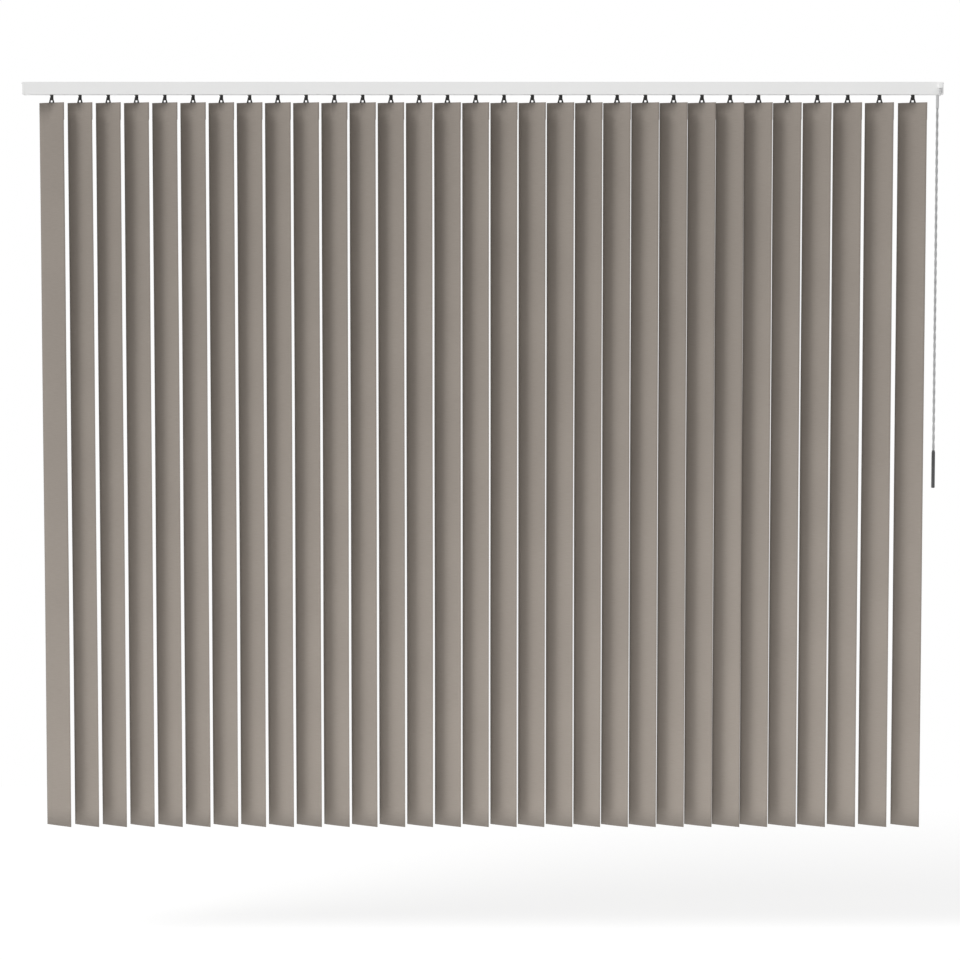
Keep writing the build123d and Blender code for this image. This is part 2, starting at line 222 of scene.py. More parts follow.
class Shading:
    """The node tree of a material or world, with one method that adds any node."""

    def __init__(self, owner: bpy.types.Material | bpy.types.World) -> None:
        """Empty the owner's node tree.

        Args:
            owner: The material or world.
        """
        owner.use_nodes = True
        self.owner = owner
        self.nodes = owner.node_tree.nodes
        self.links = owner.node_tree.links
        self.nodes.clear()

    def node(self, kind: str, settings: dict[str, Any], values: dict[Any, Any], output: Any = 0,
             operand: Operand = Operand.NUMBER) -> Signal:
        """Add a node of any type.

        Args:
            kind: The node's type.
            settings: Properties of the node, which are set first.
            values: Numbers, triples or signals for its sockets, by name or place.
            output: The name or place of the output that is wanted.
            operand: What that output carries.

        Returns:
            The wanted output, with no socket where the node has none.
        """
        made = self.nodes.new(kind)
        for name, value in settings.items():
            setattr(made, name, value)
        for name, value in values.items():
            socket = made.inputs[name]
            if isinstance(value, Signal):
                self.links.new(value.socket, socket)
            elif socket.type == "RGBA":
                socket.default_value = (*value, 1.0)
            else:
                socket.default_value = value
        return Signal(self, made.outputs[output] if len(made.outputs) else None, operand)

    def place(self) -> Signal:
        """Give the piece's own coordinates, in metres."""
        return self.node("ShaderNodeTexCoord", {}, {}, "Object", Operand.VECTOR)

    def seen(self) -> Signal:
        """Tell the camera's rays, straight or by gloss or glass, from those of the light.

        Returns:
            1 for the camera's rays and 0 for the rest.
        """
        straight, gloss, glass = (self.node("ShaderNodeLightPath", {}, {}, f"Is {ray} Ray")
                                  for ray in ("Camera", "Glossy", "Transmission"))
        return straight.larger(gloss).larger(glass)

    def surface(self, **sockets: Any) -> bpy.types.Material:
        """Finish a material with one Principled shader.

        Args:
            sockets: Values by socket name, with underscores for spaces.

        Returns:
            The finished material.
        """
        values = {name.replace("_", " "): value for name, value in sockets.items()}
        shader = self.node("ShaderNodeBsdfPrincipled", {}, values)
        self.node("ShaderNodeOutputMaterial", {}, {"Surface": shader})
        return self.owner


def shading(name: str) -> Shading:
    """Start a new material with this name."""
    return Shading(bpy.data.materials.new(name))


@dataclass(frozen=True)
class WovenFabric:
    """Plain-woven slat fabric: fine upright warp, thicker slubby weft, and a soft, stiff sheen."""

    name: str = "slat_fabric"
    light: Colour = (0.323, 0.284, 0.248)
    dark: Colour = (0.259, 0.227, 0.198)
    warp_pitch: float = 0.7 * MM
    weft_pitch: float = 0.9 * MM
    wander_reach: float = 0.4
    wander_size: float = 9 * MM
    slub: float = 26 * MM
    fade: float = 260 * MM
    weave_shade: float = 0.45
    slub_shade: float = 0.3
    fade_shade: float = 0.25
    roughness: float = 0.82
    thread_gloss: float = 0.08

    def material(self) -> bpy.types.Material:
        """Make the fabric.

        Returns:
            The fabric's material.
        """
        tree = shading(self.name)
        cloth = tree.node("ShaderNodeUVMap", {"uv_map": "cloth"}, {}, operand=Operand.VECTOR)
        across, down, _ = cloth.axes()
        wander = cloth.cloud(self.wander_size, detail=1.0) * (self.wander_reach * self.weft_pitch)
        warp = (across + wander).wave(self.warp_pitch)
        weft = (down + wander).wave(self.weft_pitch)
        over = (across.wave(2 * self.warp_pitch) - 0.5) * (down.wave(2 * self.weft_pitch) - 0.5)
        thread = (over * 4).step(low=-0.6, high=0.6)  # 1 where the warp lies on top
        weave = thread * warp + (1 - thread) * weft
        slubs = (cloth * (1 / self.slub, 1 / self.weft_pitch, 1.0)).cloud(size=1.0, detail=1.0)
        blots = cloth.cloud(self.fade).step(low=0.3, high=0.7)
        shade = (weave * self.weave_shade + slubs.step(low=0.35, high=0.65) * self.slub_shade
                 + blots * self.fade_shade)
        return tree.surface(
            Base_Color=shade.between(self.dark, self.light),
            Roughness=self.roughness - weave * self.thread_gloss,
            Normal=weave.mixed(slubs, share=0.3).relief(depth=0.12 * MM, strength=0.5),
            Specular_IOR_Level=0.3, Sheen_Weight=0.12, Sheen_Roughness=0.5)


@dataclass(frozen=True)
class PaintedMetal:
    """Powder-coated extrusion: the coat's fine ripple, and faint draw lines along its length."""

    name: str
    colour: Colour
    dull: Colour
    roughness: float = 0.38
    ripple: float = 1.4 * MM
    ripple_gloss: float = 0.08
    stretch: Triple = (4.0, 900.0, 900.0)
    fade: float = 180 * MM

    def material(self) -> bpy.types.Material:
        """Make the paint.

        Returns:
            The paint's material.
        """
        tree = shading(self.name)
        place = tree.place()
        ripple = place.cloud(self.ripple)
        lines = (place * self.stretch).cloud(size=1.0, detail=1.0)
        tone = place.cloud(self.fade).step(low=0.25, high=0.75).mixed(lines, share=0.4)
        return tree.surface(
            Base_Color=tone.between(self.dull, self.colour),
            Roughness=self.roughness + ripple * self.ripple_gloss,
            Normal=ripple.mixed(lines, share=0.2).relief(depth=0.03 * MM, strength=0.5))


@dataclass(frozen=True)
class MouldedPlastic:
    """Injection-moulded plastic, with a fine spark-eroded grain and faint flow marks."""

    name: str
    colour: Colour
    dull: Colour
    roughness: float = 0.45
    coat: float = 0.0
    grain: float = 0.35 * MM
    grain_gloss: float = 0.1
    flow: float = 12 * MM
    flow_stretch: Triple = (1.0, 1.0, 0.35)

    def material(self) -> bpy.types.Material:
        """Make the plastic.

        Returns:
            The plastic's material.
        """
        tree = shading(self.name)
        place = tree.place()
        grain = place.cloud(self.grain)
        flow = (place * self.flow_stretch).cloud(self.flow).step(low=0.3, high=0.7)
        return tree.surface(
            Base_Color=flow.mixed(grain, share=0.3).between(self.dull, self.colour),
            Roughness=self.roughness + grain * self.grain_gloss,
            Normal=grain.relief(depth=0.02 * MM, strength=0.4),
            Coat_Weight=self.coat, Coat_Roughness=0.08)


@dataclass(frozen=True)
class DrawnMetal:
    """Bare metal with fine lines along the way that it was drawn or rolled."""

    name: str
    colour: Colour
    dull: Colour
    stretch: Triple
    roughness: float = 0.3
    line_gloss: float = 0.15
    bloom: float = 6 * MM
    bloom_gloss: float = 0.1

    def material(self) -> bpy.types.Material:
        """Make the metal.

        Returns:
            The metal's material.
        """
        tree = shading(self.name)
        place = tree.place()
        lines = (place * self.stretch).cloud(size=1.0)
        bloom = place.cloud(self.bloom, detail=3.0)
        tone = bloom.step(low=0.3, high=0.75).mixed(lines, share=0.4)
        rough = self.roughness + lines * self.line_gloss + bloom * self.bloom_gloss
        return tree.surface(
            Base_Color=tone.between(self.dull, self.colour), Metallic=1.0, Roughness=rough.held(),
            Normal=lines.relief(depth=0.02 * MM, strength=0.4))


class Finishes:
    """Every finish of the blind, each made once."""

    def __init__(self) -> None:
        """Make the materials."""
        self.fabric = WovenFabric().material()
        self.rail = PaintedMetal(
            "rail_paint", (0.9, 0.9, 0.895), (0.875, 0.875, 0.87)).material()
        self.cap = MouldedPlastic(
            "cap_plastic", (0.92, 0.92, 0.915), (0.895, 0.895, 0.89), 0.55).material()
        self.carrier = MouldedPlastic(
            "carrier_plastic", (0.74, 0.73, 0.69), (0.68, 0.67, 0.63), 0.35).material()
        self.gear_case = MouldedPlastic(
            "gear_case_plastic", (0.70, 0.70, 0.67), (0.65, 0.65, 0.62)).material()
        self.bush = MouldedPlastic(
            "bush_plastic", (0.55, 0.55, 0.53), (0.5, 0.5, 0.48), 0.3).material()
        self.hook = MouldedPlastic(
            "hook_plastic", (0.022, 0.021, 0.02), (0.014, 0.013, 0.013), 0.4).material()
        self.stem = MouldedPlastic(
            "wand_stem_plastic", (0.63, 0.63, 0.635), (0.57, 0.57, 0.575), 0.45).material()
        self.bar = MouldedPlastic(
            "wand_bar_plastic", (0.4, 0.4, 0.405), (0.34, 0.34, 0.345), 0.22, 0.5).material()
        self.sleeve = MouldedPlastic(
            "wand_sleeve_plastic", (0.54, 0.54, 0.545), (0.48, 0.48, 0.485), 0.3, 0.3).material()
        self.grip = MouldedPlastic(
            "wand_grip_plastic", (0.06, 0.06, 0.062), (0.04, 0.04, 0.042), 0.42).material()
        self.wire = DrawnMetal(
            "wand_wire", (0.55, 0.55, 0.56), (0.42, 0.42, 0.43), (300, 300, 300)).material()
        self.rod = DrawnMetal(
            "tilt_rod_aluminium", (0.80, 0.81, 0.82), (0.7, 0.71, 0.72), (6, 1500, 1500)).material()
        self.zinc = DrawnMetal(
            "clip_zinc", (0.62, 0.63, 0.65), (0.5, 0.51, 0.52), (40, 900, 900), 0.42).material()
        self.screw = DrawnMetal(
            "cap_screw_zinc", (0.6, 0.6, 0.61), (0.5, 0.5, 0.51), (900, 900, 900), 0.3).material()


def linked(name: str, data: bpy.types.ID) -> bpy.types.Object:
    """Put an object with this data in the scene.

    Args:
        name: The object's name.
        data: Its mesh, lamp or camera.

    Returns:
        The new object.
    """
    made = bpy.data.objects.new(name, data)
    bpy.context.scene.collection.objects.link(made)
    return made


def new_piece(name: str, mesh: bpy.types.Mesh, material: bpy.types.Material,
              angle: float = 35.0) -> bpy.types.Object:
    """Put a finished mesh in the scene as one piece.

    Args:
        name: The piece's name.
        mesh: Its mesh, in metres.
        material: Its finish.
        angle: The sharpest edge that is still shaded smooth, in degrees.

    Returns:
        The new object.
    """
    mesh.name = name
    mesh.materials.clear()
    mesh.materials.append(material)
    mesh.shade_smooth()
    mesh.set_sharp_from_angle(angle=math.radians(angle))
    return linked(name, mesh)


def soften(node: bpy.types.Object, material: bpy.types.Material, edge: float) -> bpy.types.Object:
    """Dress a CAD node: give it its finish and soften its edges.

    Args:
        node: The node's object.
        material: Its finish.
        edge: The width of its softened edges.

    Returns:
        The same object.
    """
    node.data.materials.clear()
    node.data.materials.append(material)
    bevel = node.modifiers.new("soft_edges", "BEVEL")
    bevel.width = edge
    bevel.segments = 2
    bevel.limit_method = "ANGLE"
    bevel.angle_limit = math.radians(40)
    bevel.harden_normals = True
    return node


def mesh_of(work: bmesh.types.BMesh, name: str) -> bpy.types.Mesh:
    """Turn work in progress into a mesh, and free it.

    Args:
        work: The work, which is used up.
        name: The mesh's name.

    Returns:
        The mesh.
    """
    mesh = bpy.data.meshes.new(name)
    work.to_mesh(mesh)
    work.free()
    return mesh


def mesh_of_curve(curve: bpy.types.Curve, lines: Iterable[Sequence[Sequence[float]]],
                  closed: bool) -> bpy.types.Mesh:
    """Give a curve its lines and turn it into a mesh.

    Args:
        curve: The curve with its settings, which is used up.
        lines: The points of each line, as x, y and z.
        closed: Whether each line closes on itself.

    Returns:
        The mesh.
    """
    for points in lines:
        spline = curve.splines.new("POLY")
        spline.points.add(len(points) - 1)
        for point, at in zip(spline.points, points):
            point.co = (*at, 1.0)
        spline.use_cyclic_u = closed
    holder = bpy.data.objects.new(curve.name, curve)
    mesh = bpy.data.meshes.new_from_object(holder)
    bpy.data.objects.remove(holder)
    bpy.data.curves.remove(curve)
    return mesh


def plate(outline: Sequence[Point], holes: Iterable[Sequence[Point]], thickness: float,
          edge: float) -> bpy.types.Mesh:
    """Make a flat plate with softened edges from its outline.

    Args:
        outline: The corners of its outside, as x and height.
        holes: The corners of each hole.
        thickness: How thick it is, along Y.
        edge: The radius of its edges.

    Returns:
        The plate's mesh, centred on Y.
    """
    curve = bpy.data.curves.new("plate", "CURVE")
    curve.dimensions = "2D"
    curve.fill_mode = "BOTH"
    curve.extrude = thickness / 2 - edge
    curve.bevel_depth = edge
    curve.bevel_resolution = 2
    curve.offset = -edge
    lines = [[(x, z, 0.0) for x, z in corners] for corners in (outline, *holes)]
    mesh = mesh_of_curve(curve, lines, closed=True)
    mesh.transform(Matrix.Rotation(math.radians(90), 4, "X"))
    return mesh


def rounded(corners: Sequence[Point], radius: float, steps: int = 4) -> list[Point]:
    """Round every corner of an outline.

    Args:
        corners: The outline's corners.
        radius: How far from a corner it starts, which is held to a third of the shorter side.
        steps: How many runs each corner is divided into.

    Returns:
        The rounded outline.
    """
    points = []
    for i, corner in enumerate(corners):
        here = Vector(corner)
        before = Vector(corners[i - 1]) - here
        after = Vector(corners[(i + 1) % len(corners)]) - here
        reach = min(radius, before.length / 3, after.length / 3)
        start = here + before.normalized() * reach
        end = here + after.normalized() * reach
        for k in range(steps + 1):
            t = k / steps
            at = start.lerp(here, t).lerp(here.lerp(end, t), t)
            points.append((at.x, at.y))
    return points


def turned(profile: Sequence[Point], sides: int = 24) -> bpy.types.Mesh:
    """Turn a profile about Z.

    Args:
        profile: Points as radius and height, from one end to the other.
        sides: How many faces go round.

    Returns:
        The closed mesh.
    """
    work = bmesh.new()
    rings = []
    for radius, z in profile:
        angles = [2 * math.pi * k / sides for k in range(sides if radius else 1)]
        rings.append([work.verts.new((radius * math.cos(a), radius * math.sin(a), z))
                      for a in angles])
    for low, high in zip(rings, rings[1:]):
        for k in range(sides):
            after = (k + 1) % sides
            corners = [low[k % len(low)], low[after % len(low)],
                       high[after % len(high)], high[k % len(high)]]
            work.faces.new(list(dict.fromkeys(corners)))
    bmesh.ops.recalc_face_normals(work, faces=work.faces)
    return mesh_of(work, "turned")


def joined(meshes: Sequence[bpy.types.Mesh]) -> bpy.types.Mesh:
    """Join several meshes into one.

    Args:
        meshes: The meshes, which are used up.

    Returns:
        One mesh with all their faces.
    """
    work = bmesh.new()
    for mesh in meshes:
        work.from_mesh(mesh)
        bpy.data.meshes.remove(mesh)
    return mesh_of(work, "joined")


@dataclass
class Row:
    """Where the slats hang: the places of their hooks along the rail, read from the frame."""

    frame: dict[str, Any]
    rest_degrees: float = 32.0
    places: dict[str, float] = field(init=False)

    def __post_init__(self) -> None:
        """Read each tilt joint's place."""
        found = {joint["child"]: joint["pos_m"][0] for joint in self.frame["joints"]
                 if joint["child"].startswith("slat_")}
        self.places = dict(sorted(found.items()))

    def stand(self, name: str) -> Matrix:
        """Give the place and turn of one slat at rest.

        Args:
            name: The slat's body.

        Returns:
            The matrix from the slat's own axes to the blind's.
        """
        turn = Matrix.Rotation(-math.radians(self.rest_degrees), 4, "Z")
        return Matrix.Translation((self.places[name], 0, 0)) @ turn


@dataclass
class Slat:
    """One fabric slat, with the hanger in its pocket and the hook that it hangs from."""

    # The fabric: its cut, its fold over the hanger and its seam.
    width: float = 89 * MM
    top: float = -57 * MM
    bottom: float = -2127 * MM
    fabric: float = 0.4 * MM
    fold: float = 0.75 * MM
    fold_steps: int = 6
    pocket: float = 50 * MM
    taper: float = 3 * MM
    opening: float = 20.2 * MM
    columns: int = 12
    rows: int = 36
    # How far the weave is shifted from one slat to the next, in metres.
    shift_across: float = 0.37
    shift_down: float = 0.61
    # How the fabric hangs off flat, below the share of its length that the hanger holds.
    cup: float = 0.7 * MM
    sway: float = 0.4 * MM
    half_waves: float = 3.2
    held_share: float = 0.03
    easing: float = 4.0
    # The hanger: its plate in the pocket, and its bail with a window that the tongue goes through.
    plate_thickness: float = 0.9 * MM
    plate_width: float = 70 * MM
    plate_height: float = 40 * MM
    plate_play: float = 0.1 * MM
    plate_edge: float = 0.15 * MM
    plate_corner: float = 1.5 * MM
    bail_top: float = 12.4 * MM
    bail_foot: float = 20 * MM
    bail_height: float = 15 * MM
    bail_straight: float = 4 * MM
    window_top: float = 5.6 * MM
    window_foot: float = 7.6 * MM
    window_sill: float = 0.8 * MM
    window_corner: float = 0.8 * MM
    crossbar: float = 3 * MM
    # The hook: its round stem with a head, its back arm and its tongue.
    stem_radius: float = 2.5 * MM
    stem_top: float = -25.03 * MM
    stem_sink: float = 0.5 * MM
    head_radius: float = 4.2 * MM
    head_height: float = 1.6 * MM
    head_edge: float = 0.5 * MM
    hook_top: float = -35.6 * MM
    hook_bottom: float = -50.75 * MM
    hook_width: float = 10.4 * MM
    hook_tongue: float = 4.8 * MM
    hook_bar: float = 5.6 * MM
    hook_block: float = 1.7 * MM
    hook_lip: float = 4 * MM
    hook_reach: float = 2.2 * MM
    hook_gap: float = 0.6 * MM
    hook_edge: float = 0.25 * MM
    back_corner: float = 0.6 * MM
    tongue_corner: float = 0.9 * MM

    def path(self) -> list[Point]:
        """Give the line of the fabric in section.

        Returns:
            Points as Y and height, from the lower edge up the front, over the fold and down to
            the seam.
        """
        drop = self.top - self.bottom - self.fabric / 2 - self.fold
        front = [(-self.fold, self.bottom + drop * k / self.rows) for k in range(self.rows + 1)]
        crest = front[-1][1]
        angles = [math.pi * k / self.fold_steps for k in range(1, self.fold_steps)]
        over = [(-self.fold * math.cos(a), crest + self.fold * math.sin(a)) for a in angles]
        seam = self.top - self.pocket
        back = [(self.fold, z) for z in (crest, (self.top + seam) / 2, seam + self.taper)]
        return front + over + back + [(-self.fold + self.fabric, seam)]

    def columns_across(self) -> list[float]:
        """Divide the fabric's width, with a line at each side of the bail's opening.

        Returns:
            The place of each line across the slat.
        """
        half = self.opening / 2
        edges = [-self.width / 2 + self.width * k / self.columns for k in range(self.columns + 1)]
        nearest = min(range(len(edges)), key=lambda k: abs(edges[k] + half))
        edges[nearest], edges[-1 - nearest] = -half, half
        return edges

    def panel(self, name: str, finish: bpy.types.Material, number: int) -> bpy.types.Object:
        """Make the fabric of one slat.

        Args:
            name: The piece's name.
            finish: The fabric.
            number: The slat's number, which shifts the fabric's pattern.

        Returns:
            The piece, round its own axis.
        """
        path, edges, half = self.path(), self.columns_across(), self.opening / 2
        travel = [0.0]
        for (y0, z0), (y1, z1) in zip(path, path[1:]):
            travel.append(travel[-1] + math.hypot(y1 - y0, z1 - z0))
        phase = random.Random(number).random() * 2 * math.pi
        work = bmesh.new()
        layer = work.loops.layers.uv.new("cloth")
        grid = []
        for y, z in path:
            hang = (self.top - z) / (self.top - self.bottom)
            grid.append([work.verts.new((x, y + self.bow(x, hang, phase), z)) for x in edges])
        fold_rows = range(self.rows, self.rows + self.fold_steps)
        for row in range(len(path) - 1):
            for column in range(len(edges) - 1):
                if row in fold_rows and -half <= edges[column] < half:
                    continue
                spots = ((column, row), (column + 1, row),
                         (column + 1, row + 1), (column, row + 1))
                face = work.faces.new([grid[j][i] for i, j in spots])
                for loop, (i, j) in zip(face.loops, spots):
                    loop[layer].uv = (edges[i] + self.shift_across * number,
                                      travel[j] + self.shift_down * number)
        piece = new_piece(name, mesh_of(work, name), finish)
        thick = piece.modifiers.new("thickness", "SOLIDIFY")
        thick.thickness = self.fabric
        thick.offset = 0.0
        return piece

    def bow(self, x: float, hang: float, phase: float) -> float:
        """Give how far the hanging fabric stands off flat.

        Args:
            x: The distance from the slat's middle.
            hang: The share of the way down, from 0 at the fold to 1 at the lower edge.
            phase: Where this slat's slow sway starts.

        Returns:
            The offset, in metres.
        """
        ease = min(1.0, max(0.0, (hang - self.held_share) * self.easing))
        cup = self.cup * ((2 * x / self.width) ** 2 - 0.5)
        sway = self.sway * math.sin(self.half_waves * math.pi * hang + phase)
        return ease * (cup + sway)

    def hanger(self, name: str, finish: bpy.types.Material) -> bpy.types.Object:
        """Make the plate in the pocket, with its open bail.

        Args:
            name: The piece's name.
            finish: Its plastic.

        Returns:
            The piece, round its own axis.
        """
        top = self.top - self.fabric - self.plate_play
        half, low = self.plate_width / 2, top - self.plate_height
        bail = self.top + self.bail_height
        foot, neck, shoulder = self.bail_foot / 2, self.bail_top / 2, bail - self.bail_straight
        outline = [(-half, low), (half, low), (half, top), (foot, top), (foot, self.top),
                   (neck, shoulder), (neck, bail), (-neck, bail), (-neck, shoulder),
                   (-foot, self.top), (-foot, top), (-half, top)]
        sill, bar = self.top + self.window_sill, bail - self.crossbar
        window = [(-self.window_foot / 2, sill), (-self.window_top / 2, bar),
                  (self.window_top / 2, bar), (self.window_foot / 2, sill)]
        mesh = plate(rounded(outline, self.plate_corner), [rounded(window, self.window_corner)],
                     self.plate_thickness, self.plate_edge)
        return new_piece(name, mesh, finish)

    def hook(self, name: str, finish: bpy.types.Material) -> bpy.types.Object:
        """Make the stem with its head, its broad back arm and the tongue that holds the bail.

        Args:
            name: The piece's name.
            finish: Its plastic.

        Returns:
            The piece, round its own axis.
        """
        head, shank = self.stem_top + self.head_height, self.hook_top - self.stem_sink
        profile = [(0, head), (self.head_radius - self.head_edge, head),
                   (self.head_radius, head - self.head_edge), (self.head_radius, self.stem_top),
                   (self.stem_radius, self.stem_top), (self.stem_radius, shank), (0, shank)]
        reach, gap, soft = self.hook_reach, self.hook_gap, self.hook_edge
        throat = self.hook_top - self.hook_block
        seat = self.hook_bottom + self.hook_bar
        lip = seat + self.hook_lip
        back = [(-reach, self.hook_top), (-reach, throat), (gap, throat), (gap, self.hook_bottom),
                (reach, self.hook_bottom), (reach, self.hook_top)]
        tongue = [(reach - soft, self.hook_bottom), (reach - soft, seat), (-gap, seat), (-gap, lip),
                  (-reach, lip), (-reach, self.hook_bottom)]
        arms = [plate(rounded(back, self.back_corner, 3), [], self.hook_width, soft),
                plate(rounded(tongue, self.tongue_corner, 3), [], self.hook_tongue, soft)]
        for arm in arms:
            arm.transform(Matrix.Rotation(math.radians(90), 4, "Z"))
        return new_piece(name, joined([turned(profile), *arms]), finish)


@dataclass
class Curtain:
    """All the slats in their row."""

    row: Row
    finishes: Finishes
    slat: Slat = field(default_factory=Slat)

    def build(self) -> list[bpy.types.Object]:
        """Make every slat and hang it from its body.

        Returns:
            The panels, hangers and hooks.
        """
        made = []
        for number, name in enumerate(self.row.places, start=1):
            tag = name.split("_")[1]
            panel = self.slat.panel(f"panel_{tag}", self.finishes.fabric, number)
            hanger = self.slat.hanger(f"hanger_{tag}", self.finishes.hook)
            hook = self.slat.hook(f"hook_{tag}", self.finishes.hook)
            for piece in (panel, hanger, hook):
                piece.matrix_world = self.row.stand(name)
                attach(piece, name)
                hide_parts(name)
                made.append(piece)
        return made


@dataclass
class Wand:
    """The tilt wand: its wire hook, its twisted bar and its softened moulded pieces."""

    finishes: Finishes
    nodes: dict[str, bpy.types.Object]
    # The axes of the stem and of the bar.
    x: float = 1290 * MM
    y: float = -33 * MM
    bar_x: float = 1281.5 * MM
    # The wire, from its loop through the stem's eye to its arm through the sleeve.
    wire_radius: float = 0.8 * MM
    bend_radius: float = 1.7 * MM
    wire_height: float = -31.65 * MM
    cross_height: float = -40.05 * MM
    half_gap: float = 3.4 * MM
    back_drop: float = 4.6 * MM
    front_drop: float = 5.4 * MM
    turn_out: float = 5.8 * MM
    end_reach: float = 4.9 * MM
    # The twisted bar, with its flutes and tenons.
    bar_top: float = -73.85 * MM
    bar_bottom: float = -1041 * MM
    bar_across: float = 5.6 * MM
    lead: float = 104 * MM
    ring_pitch: float = 2.6 * MM
    corner: float = 0.7 * MM
    flute_depth: float = 0.25 * MM
    flute_reach: float = 0.66
    flute_curve: float = 0.8
    tenon_radius: float = 2.4 * MM
    tenon_length: float = 12 * MM

    def wire(self) -> bpy.types.Object:
        """Bend the wire that joins the wand to its stem.

        Returns:
            The piece.
        """
        back, front = self.y + self.half_gap, self.y - self.half_gap
        path = [(self.x, back, self.wire_height - self.back_drop),
                (self.x, back, self.wire_height),
                (self.x, front, self.wire_height),
                (self.x, front, self.wire_height - self.front_drop),
                (self.bar_x + self.turn_out, self.y, self.cross_height),
                (self.bar_x - self.end_reach, self.y, self.cross_height)]
        curve = bpy.data.curves.new("wire", "CURVE")
        curve.dimensions = "3D"
        curve.bevel_depth = self.wire_radius
        curve.bevel_resolution = 4
        curve.use_fill_caps = True
        mesh = mesh_of_curve(curve, [self.bent(path, self.bend_radius)], closed=False)
        piece = new_piece("wand_wire", mesh, self.finishes.wire)
        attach(piece, "wand_hook")
        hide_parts("wand_hook")
        return piece

    @staticmethod
    def bent(path: Sequence[Sequence[float]], radius: float, steps: int = 8) -> list[Vector]:
        """Round the inner corners of a path with arcs.

        Args:
            path: The corners of the path.
            radius: The radius of each bend.
            steps: How many runs a bend is divided into.

        Returns:
            The points of the rounded path.
        """
        corners = [Vector(p) for p in path]
        points = [corners[0]]
        for before, here, after in zip(corners, corners[1:], corners[2:]):
            back, on = (before - here).normalized(), (after - here).normalized()
            half = back.angle(on) / 2
            reach = radius / math.tan(half)
            centre = here + (back + on).normalized() * (radius / math.sin(half))
            start, end = here + back * reach - centre, here + on * reach - centre
            axis = start.cross(end).normalized()
            sweep = start.angle(end)
            points += [centre + Matrix.Rotation(sweep * k / steps, 3, axis) @ start
                       for k in range(steps + 1)]
        return points + [corners[-1]]

    def bar(self) -> bpy.types.Object:
        """Twist the square bar of the wand, with a round tenon at each end.

        Returns:
            The piece.
        """
        length = self.bar_top - self.bar_bottom
        rings = round(length / self.ring_pitch)
        section = self.section()
        count = len(section)
        work = bmesh.new()
        stack = []
        for k in range(rings + 1):
            turn = Matrix.Rotation(2 * math.pi * length * k / rings / self.lead, 3, "Z")
            rise = Vector((0, 0, self.bar_bottom + length * k / rings))
            stack.append([work.verts.new(turn @ Vector((x, y, 0)) + rise) for x, y in section])
        for low, high in zip(stack, stack[1:]):
            for i in range(count):
                after = (i + 1) % count
                work.faces.new((low[i], low[after], high[after], high[i]))
        work.faces.new(list(reversed(stack[0])))
        work.faces.new(stack[-1])
        tenons = [turned([(0, low), (self.tenon_radius, low), (self.tenon_radius, high), (0, high)])
                  for low, high in ((self.bar_bottom - self.tenon_length, self.bar_bottom),
                                    (self.bar_top, self.bar_top + self.tenon_length))]
        whole = joined([mesh_of(work, "bar"), *tenons])
        whole.transform(Matrix.Translation((self.bar_x, self.y, 0)))
        piece = new_piece("wand_bar", whole, self.finishes.bar, angle=40)
        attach(piece, "wand")
        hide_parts("wand_rod")
        return piece

    def section(self) -> list[Point]:
        """Give the bar's section: a square with rounded corners and a shallow flute in each side.

        Returns:
            Points all round it.
        """
        half, flat = self.bar_across / 2, self.bar_across / 2 - self.corner
        flute = [(half - self.flute_depth * math.cos(self.flute_curve * t * math.pi / 2), t * flat)
                 for t in (-self.flute_reach, 0.0, self.flute_reach)]
        arc = [(flat + self.corner * math.cos(a), flat + self.corner * math.sin(a))
               for a in (0.0, math.pi / 6, math.pi / 3)]
        turns = [Matrix.Rotation(math.pi / 2 * side, 2) for side in range(4)]
        return [tuple(turn @ Vector(spot)) for turn in turns for spot in flute + arc]

    def build(self) -> list[bpy.types.Object]:
        """Make and dress every piece of the wand.

        Returns:
            The wire, the bar, and the stem, sleeve and grip.
        """
        plan = (("wand_stem", self.finishes.stem, 0.3 * MM),
                ("wand_sleeve", self.finishes.sleeve, 0.2 * MM),
                ("wand_grip", self.finishes.grip, 0.3 * MM))
        dressed = [soften(self.nodes[name], finish, edge) for name, finish, edge in plan]
        return [self.wire(), self.bar(), *dressed]


